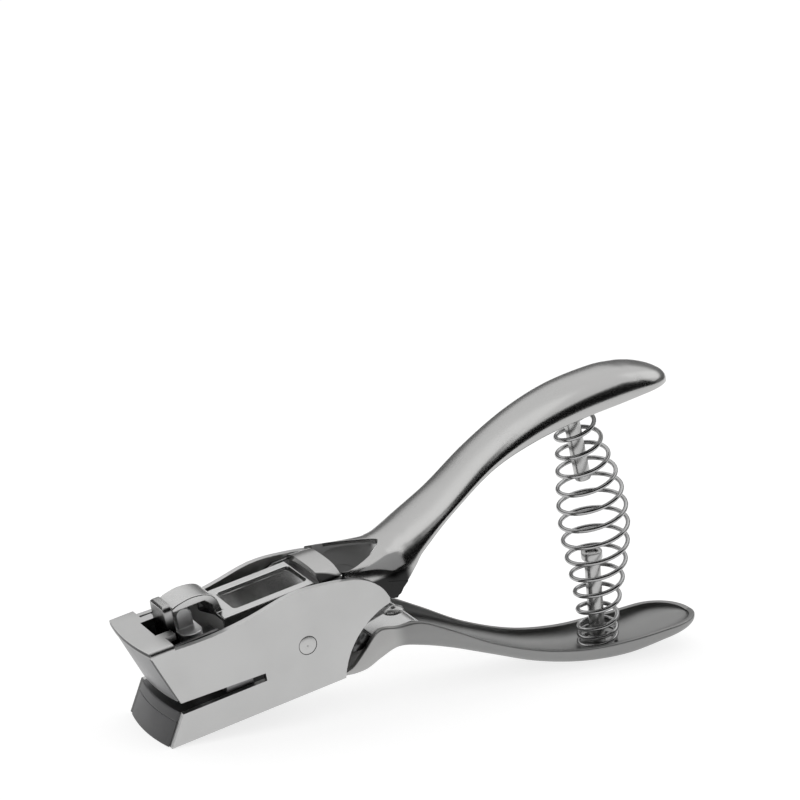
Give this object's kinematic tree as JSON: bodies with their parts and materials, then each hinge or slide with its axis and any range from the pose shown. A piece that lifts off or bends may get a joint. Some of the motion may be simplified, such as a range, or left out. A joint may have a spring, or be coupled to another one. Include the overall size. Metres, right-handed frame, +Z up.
{
  "type": "id card slot punch",
  "caption": "Hand-held slot punch: a two-jaw head with a card throat, a lever-driven punch, and a barrel spring between two curved handles.",
  "frame": {"origin": "middle of the footprint, on the plane that the tool stands on", "axes": "+X from the jaws to the handle ends, +Y across the head, +Z up with the tool standing on its lower jaw and lower handle"},
  "size_m": [0.152, 0.024, 0.0735],
  "materials": {
    "nickel_plate": "bright nickel plate over pressed steel",
    "tool_steel": "ground tool steel",
    "spring_wire": "bright drawn wire"
  },
  "bodies": {
    "head": {"housing_shell": "nickel_plate", "guide_block": "tool_steel", "card_stop": "tool_steel", "die_plate": "nickel_plate", "die_block": "tool_steel", "pivot_pin": "nickel_plate", "washer_near": "nickel_plate", "washer_far": "nickel_plate", "upper_handle": "nickel_plate", "upper_stud": "nickel_plate", "handle_spring": "spring_wire"},
    "lever": {"punch_lever": "nickel_plate", "lift_hook": "nickel_plate", "lower_handle": "nickel_plate", "tail_rivet": "nickel_plate", "lower_stud": "nickel_plate"},
    "punch": {"slot_punch": "tool_steel"}
  },
  "joints": [
    {"name": "handle_squeeze", "type": "hinge", "parent": "head", "child": "lever", "pos_m": [-0.03598, 0, 0.01986], "axis": [0, -1, 0], "range_deg": [0, 12.5], "stiffness_Nm_per_rad": 6.75, "springref_deg": -4.3, "deforming": ["handle_spring"]},
    {"name": "punch_stroke", "type": "slide", "parent": "head", "child": "punch", "axis": [0.2238, 0, -0.9746], "range_m": [0, 0.0051], "stiffness_N_per_m": 0.5, "springref_m": -0.104}
  ],
  "couplings": [
    {"joint": "punch_stroke", "follows": "handle_squeeze", "m_per_rad": 0.0229}
  ]
}
